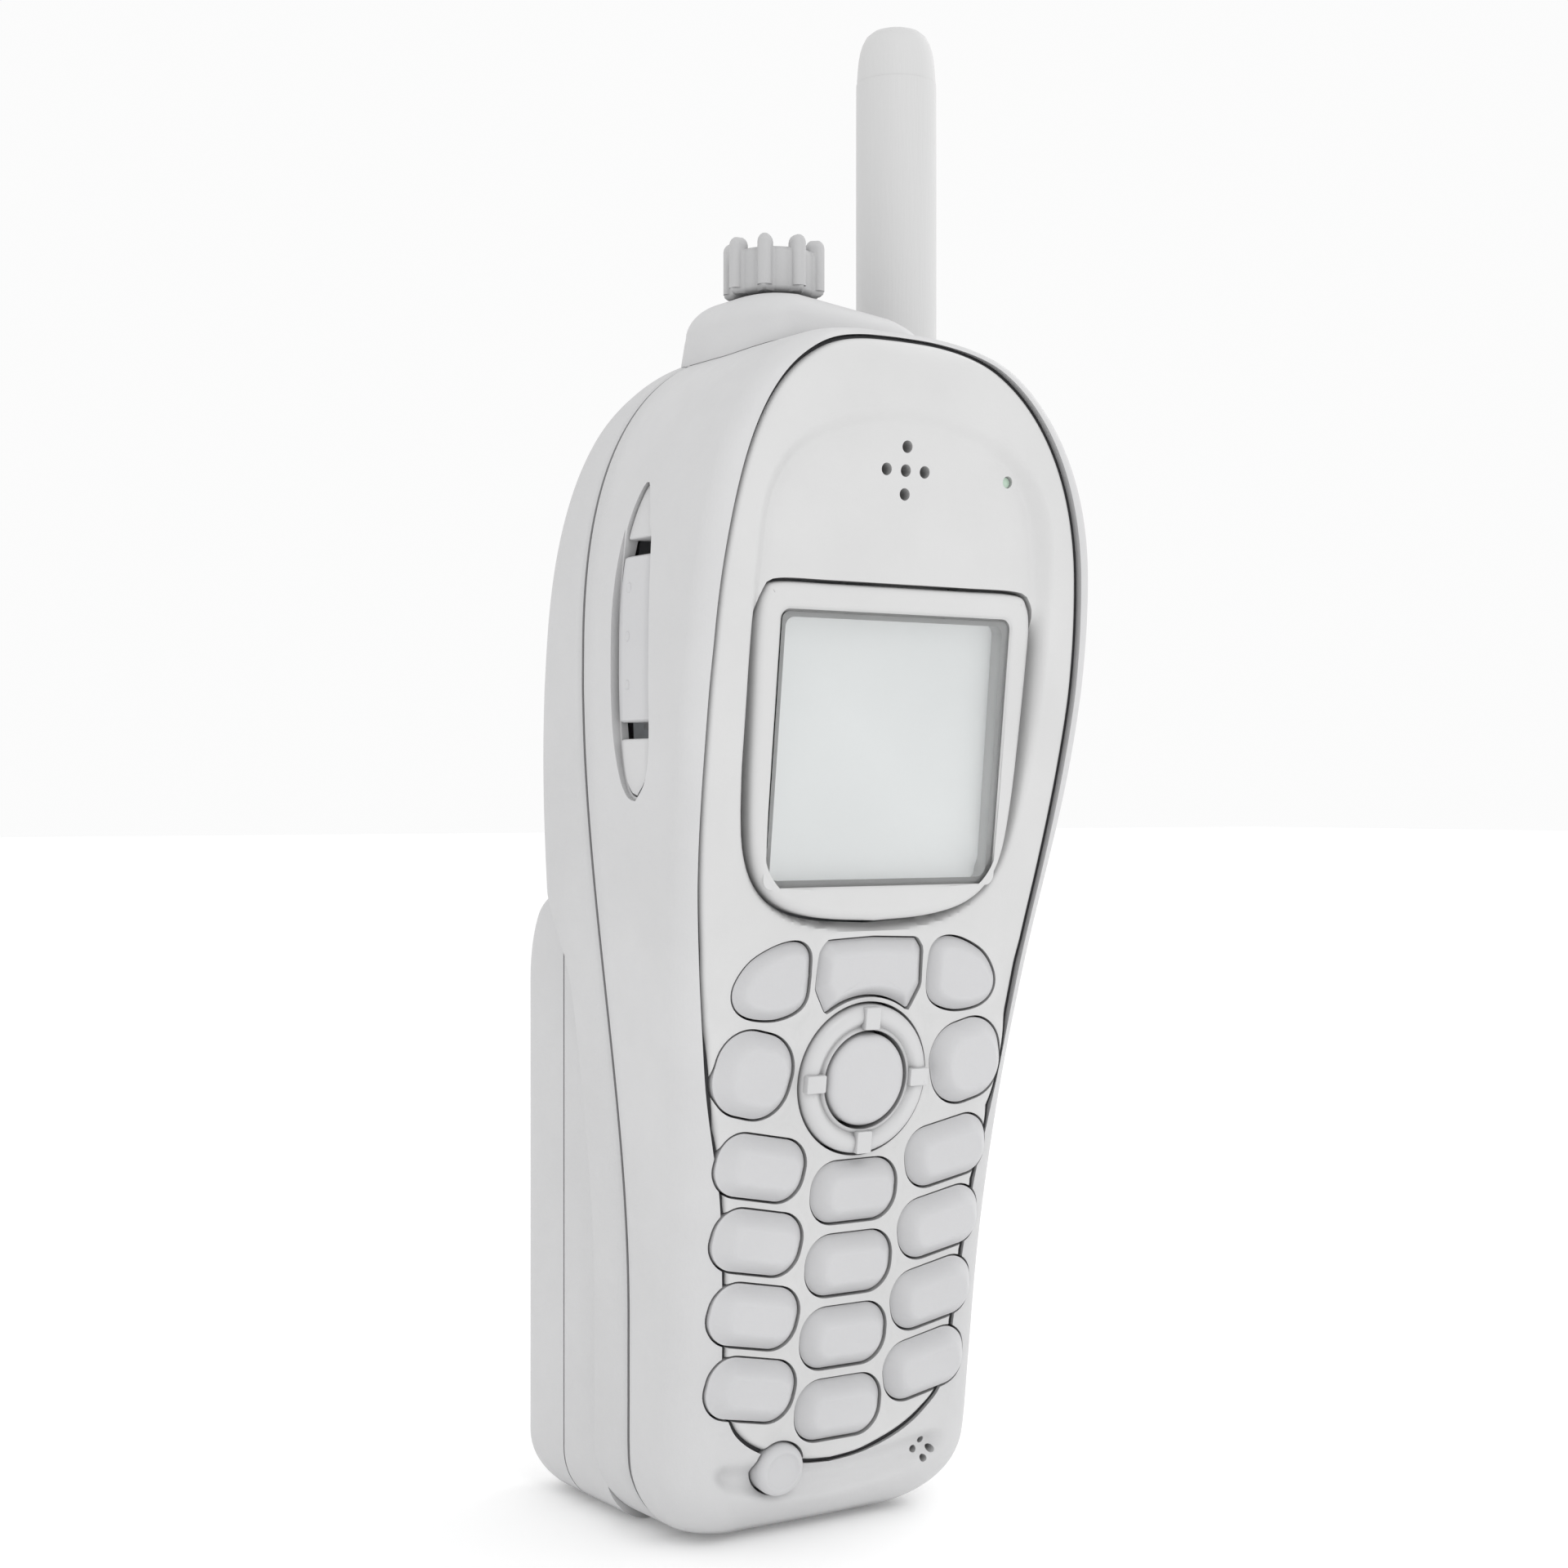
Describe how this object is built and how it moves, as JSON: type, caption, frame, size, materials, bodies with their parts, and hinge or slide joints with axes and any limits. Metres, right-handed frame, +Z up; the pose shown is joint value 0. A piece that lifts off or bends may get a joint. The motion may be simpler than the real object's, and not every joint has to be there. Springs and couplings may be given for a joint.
{
  "type": "satellite phone",
  "caption": "Handheld satellite phone with keypad, display, talk key, top volume knob, sliding antenna and a removable battery pack.",
  "frame": {"origin": "centre of the base's bounding box, on the flat base the phone stands on", "axes": "+X to the right seen from the front, +Z up towards the antenna tip, -Y out of the display and keypad"},
  "size_m": [0.0616, 0.0634, 0.2035],
  "materials": {
    "housing_plastic": "fine matt texture",
    "rear_plastic": "fine matt texture",
    "faceplate_plastic": "satin",
    "gasket_rubber": "matt",
    "lens_glass": "clear, slightly glossy",
    "display_panel": "grey reflective panel",
    "speaker_black": "matt",
    "light_pipe": "clear, glossy",
    "plated_steel": "brushed",
    "key_rubber": "soft matt",
    "ring_plastic": "satin",
    "knob_plastic": "matt, moulded ribs",
    "antenna_rubber": "soft matt",
    "gold_contact": "gold plated",
    "chassis_alloy": "die cast",
    "circuit_board": "solder mask",
    "pack_plastic": "fine matt texture",
    "cell_wrap": "shrink wrap"
  },
  "bodies": {
    "phone": {"front_housing": "housing_plastic", "rear_housing": "rear_plastic", "shell_gasket": "gasket_rubber", "faceplate": "faceplate_plastic", "faceplate_gasket": "gasket_rubber", "display_bezel": "faceplate_plastic", "display_lens": "lens_glass", "display_seal": "gasket_rubber", "lcd_module": "display_panel", "earpiece_speaker": "speaker_black", "earpiece_mesh": "speaker_black", "status_light": "light_pipe", "mic_capsule": "plated_steel", "mic_boot": "gasket_rubber", "control_turret": "housing_plastic", "ptt_trim_upper": "housing_plastic", "ptt_trim_lower": "housing_plastic", "ptt_switch": "speaker_black", "knob_encoder": "plated_steel", "antenna_guide": "speaker_black", "antenna_contact": "gold_contact", "chassis": "chassis_alloy", "main_board": "circuit_board", "shield_cans": "plated_steel", "keypad_board": "circuit_board", "keypad_mat": "key_rubber", "phone_contacts": "gold_contact", "latch_spring": "plated_steel", "sim_holder": "plated_steel", "case_screws": "plated_steel"},
    "key_1": {"key_1": "key_rubber"},
    "key_2": {"key_2": "key_rubber"},
    "key_3": {"key_3": "key_rubber"},
    "key_4": {"key_4": "key_rubber"},
    "key_5": {"key_5": "key_rubber"},
    "key_6": {"key_6": "key_rubber"},
    "key_7": {"key_7": "key_rubber"},
    "key_8": {"key_8": "key_rubber"},
    "key_9": {"key_9": "key_rubber"},
    "key_star": {"key_star": "key_rubber"},
    "key_0": {"key_0": "key_rubber"},
    "key_hash": {"key_hash": "key_rubber"},
    "soft_key_left": {"soft_key_left": "key_rubber"},
    "soft_key_center": {"soft_key_center": "key_rubber"},
    "soft_key_right": {"soft_key_right": "key_rubber"},
    "call_key": {"call_key": "key_rubber"},
    "end_key": {"end_key": "key_rubber"},
    "ok_button": {"ok_button": "key_rubber"},
    "power_button": {"power_button": "key_rubber"},
    "nav_gimbal": {"nav_gimbal": "plated_steel"},
    "nav_ring": {"nav_ring": "ring_plastic"},
    "ptt_button": {"ptt_button": "key_rubber"},
    "knob": {"volume_knob": "knob_plastic", "knob_shaft": "plated_steel"},
    "antenna": {"antenna": "antenna_rubber"},
    "battery_pack": {"battery_case": "pack_plastic", "battery_cover": "pack_plastic", "battery_cells": "cell_wrap", "battery_contacts": "gold_contact"},
    "battery_latch": {"battery_latch": "pack_plastic"}
  },
  "joints": [
    {"name": "key_1_press", "type": "slide", "parent": "phone", "child": "key_1", "axis": [0, 0.9923, 0.124], "range_m": [0, 0.0005], "stiffness_N_per_m": 2000, "springref_m": -0.0003},
    {"name": "key_2_press", "type": "slide", "parent": "phone", "child": "key_2", "axis": [0, 0.9923, 0.124], "range_m": [0, 0.0005], "stiffness_N_per_m": 2000, "springref_m": -0.0003},
    {"name": "key_3_press", "type": "slide", "parent": "phone", "child": "key_3", "axis": [0, 0.9923, 0.124], "range_m": [0, 0.0005], "stiffness_N_per_m": 2000, "springref_m": -0.0003},
    {"name": "key_4_press", "type": "slide", "parent": "phone", "child": "key_4", "axis": [0, 0.9923, 0.124], "range_m": [0, 0.0005], "stiffness_N_per_m": 2000, "springref_m": -0.0003},
    {"name": "key_5_press", "type": "slide", "parent": "phone", "child": "key_5", "axis": [0, 0.9923, 0.124], "range_m": [0, 0.0005], "stiffness_N_per_m": 2000, "springref_m": -0.0003},
    {"name": "key_6_press", "type": "slide", "parent": "phone", "child": "key_6", "axis": [0, 0.9923, 0.124], "range_m": [0, 0.0005], "stiffness_N_per_m": 2000, "springref_m": -0.0003},
    {"name": "key_7_press", "type": "slide", "parent": "phone", "child": "key_7", "axis": [0, 0.9923, 0.124], "range_m": [0, 0.0005], "stiffness_N_per_m": 2000, "springref_m": -0.0003},
    {"name": "key_8_press", "type": "slide", "parent": "phone", "child": "key_8", "axis": [0, 0.9923, 0.124], "range_m": [0, 0.0005], "stiffness_N_per_m": 2000, "springref_m": -0.0003},
    {"name": "key_9_press", "type": "slide", "parent": "phone", "child": "key_9", "axis": [0, 0.9923, 0.124], "range_m": [0, 0.0005], "stiffness_N_per_m": 2000, "springref_m": -0.0003},
    {"name": "key_star_press", "type": "slide", "parent": "phone", "child": "key_star", "axis": [0, 0.9923, 0.124], "range_m": [0, 0.0005], "stiffness_N_per_m": 2000, "springref_m": -0.0003},
    {"name": "key_0_press", "type": "slide", "parent": "phone", "child": "key_0", "axis": [0, 0.9923, 0.124], "range_m": [0, 0.0005], "stiffness_N_per_m": 2000, "springref_m": -0.0003},
    {"name": "key_hash_press", "type": "slide", "parent": "phone", "child": "key_hash", "axis": [0, 0.9923, 0.124], "range_m": [0, 0.0005], "stiffness_N_per_m": 2000, "springref_m": -0.0003},
    {"name": "soft_key_left_press", "type": "slide", "parent": "phone", "child": "soft_key_left", "axis": [0, 0.9923, 0.124], "range_m": [0, 0.0005], "stiffness_N_per_m": 2000, "springref_m": -0.0003},
    {"name": "soft_key_center_press", "type": "slide", "parent": "phone", "child": "soft_key_center", "axis": [0, 0.9923, 0.124], "range_m": [0, 0.0005], "stiffness_N_per_m": 2000, "springref_m": -0.0003},
    {"name": "soft_key_right_press", "type": "slide", "parent": "phone", "child": "soft_key_right", "axis": [0, 0.9923, 0.124], "range_m": [0, 0.0005], "stiffness_N_per_m": 2000, "springref_m": -0.0003},
    {"name": "call_key_press", "type": "slide", "parent": "phone", "child": "call_key", "axis": [0, 0.9923, 0.124], "range_m": [0, 0.0005], "stiffness_N_per_m": 2000, "springref_m": -0.0003},
    {"name": "end_key_press", "type": "slide", "parent": "phone", "child": "end_key", "axis": [0, 0.9923, 0.124], "range_m": [0, 0.0005], "stiffness_N_per_m": 2000, "springref_m": -0.0003},
    {"name": "ok_button_press", "type": "slide", "parent": "phone", "child": "ok_button", "axis": [0, 0.9923, 0.124], "range_m": [0, 0.0004], "stiffness_N_per_m": 2000, "springref_m": -0.0003},
    {"name": "power_button_press", "type": "slide", "parent": "phone", "child": "power_button", "axis": [0, 0.9923, 0.124], "range_m": [0, 0.0004], "stiffness_N_per_m": 2000, "springref_m": -0.0003},
    {"name": "nav_up_down", "type": "hinge", "parent": "phone", "child": "nav_gimbal", "pos_m": [0, -0.01691, 0.06077], "axis": [1, 0, 0], "range_deg": [-2, 2], "stiffness_Nm_per_rad": 0.06},
    {"name": "nav_left_right", "type": "hinge", "parent": "nav_gimbal", "child": "nav_ring", "pos_m": [0, -0.01691, 0.06077], "axis": [0, -0.124, 0.9923], "range_deg": [-2, 2], "stiffness_Nm_per_rad": 0.06},
    {"name": "ptt_press", "type": "slide", "parent": "phone", "child": "ptt_button", "axis": [1, 0, 0], "range_m": [0, 0.0008], "stiffness_N_per_m": 2000, "springref_m": -0.0004},
    {"name": "volume_turn", "type": "hinge", "parent": "phone", "child": "knob", "pos_m": [-0.005, -0.00734, 0.162], "axis": [0, 0, 1], "range_deg": [-300, 0]},
    {"name": "antenna_slide", "type": "slide", "parent": "phone", "child": "antenna", "axis": [0, 0, 1], "range_m": [-0.03, 0]},
    {"name": "battery_removal", "type": "slide", "parent": "phone", "child": "battery_pack", "axis": [0, 1, 0], "range_m": [0, 0.03]},
    {"name": "latch_slide", "type": "slide", "parent": "phone", "child": "battery_latch", "axis": [0, 0, 1], "range_m": [0, 0.0025], "stiffness_N_per_m": 400, "springref_m": -0.001, "deforming": ["latch_spring"]}
  ]
}
